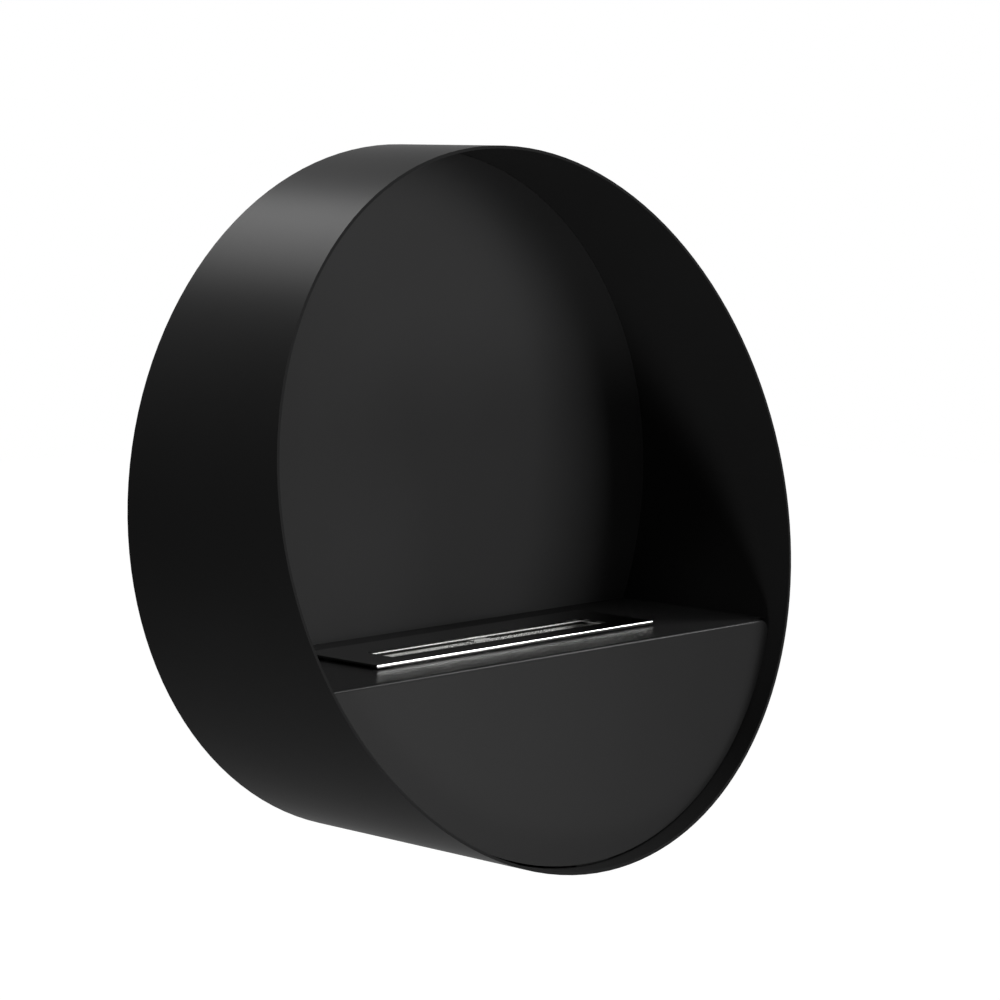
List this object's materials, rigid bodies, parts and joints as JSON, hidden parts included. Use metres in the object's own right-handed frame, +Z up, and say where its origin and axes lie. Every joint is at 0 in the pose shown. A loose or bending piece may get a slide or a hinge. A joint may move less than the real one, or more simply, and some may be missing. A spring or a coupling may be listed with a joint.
{
  "type": "wall-hung bioethanol fireplace",
  "caption": "Round wall-hung bioethanol fireplace: black rolled drum with a slanting front, folded hearth and a lift-out stainless burner with a sliding snuffer",
  "frame": {"origin": "on the drum's axis where it meets the wall, the centre of the four wall screw holes", "axes": "+Y into the wall along the drum's axis, +Z up, +X to the right seen from the front"},
  "size_m": [0.6, 0.258, 0.6],
  "materials": {
    "black_coat": "satin black heat-proof powder coat, faint orange peel",
    "stainless": "fine-brushed stainless sheet, bright folded edges",
    "stainless_screen": "perforated stainless sheet, dulled by heat",
    "zinc": "bright zinc-plated steel",
    "ceramic_wool": "off-white ceramic fibre blanket",
    "pad_fibre": "dark woven glass-fibre discs"
  },
  "bodies": {
    "housing": {"drum_shell": "black_coat", "back_panel": "black_coat", "hearth_panel": "black_coat", "bearer_left": "black_coat", "bearer_right": "black_coat", "rear_angle": "black_coat", "deck_studs": "zinc", "deck_nuts": "zinc", "fascia_bracket": "black_coat", "fascia_stud": "zinc", "fascia_nut": "zinc", "hanger_rail": "zinc", "hanger_studs": "zinc", "hanger_nuts": "zinc", "wall_rail": "zinc", "wall_channel": "zinc", "lock_screws": "zinc", "lock_nuts": "zinc"},
    "burner": {"burner_plate": "stainless", "slot_rim": "stainless", "guide_left": "stainless", "guide_right": "stainless", "tank_lid": "stainless", "fuel_tank": "stainless", "wool_pad": "ceramic_wool", "wool_screen": "stainless_screen", "burner_pads": "pad_fibre"},
    "snuffer": {"snuffer_plate": "stainless"}
  },
  "joints": [
    {"name": "burner_lift", "type": "slide", "parent": "housing", "child": "burner", "axis": [0, 0, 1], "range_m": [0, 0.08]},
    {"name": "snuffer_slide", "type": "slide", "parent": "burner", "child": "snuffer", "axis": [0, -1, 0], "range_m": [0, 0.033]}
  ]
}
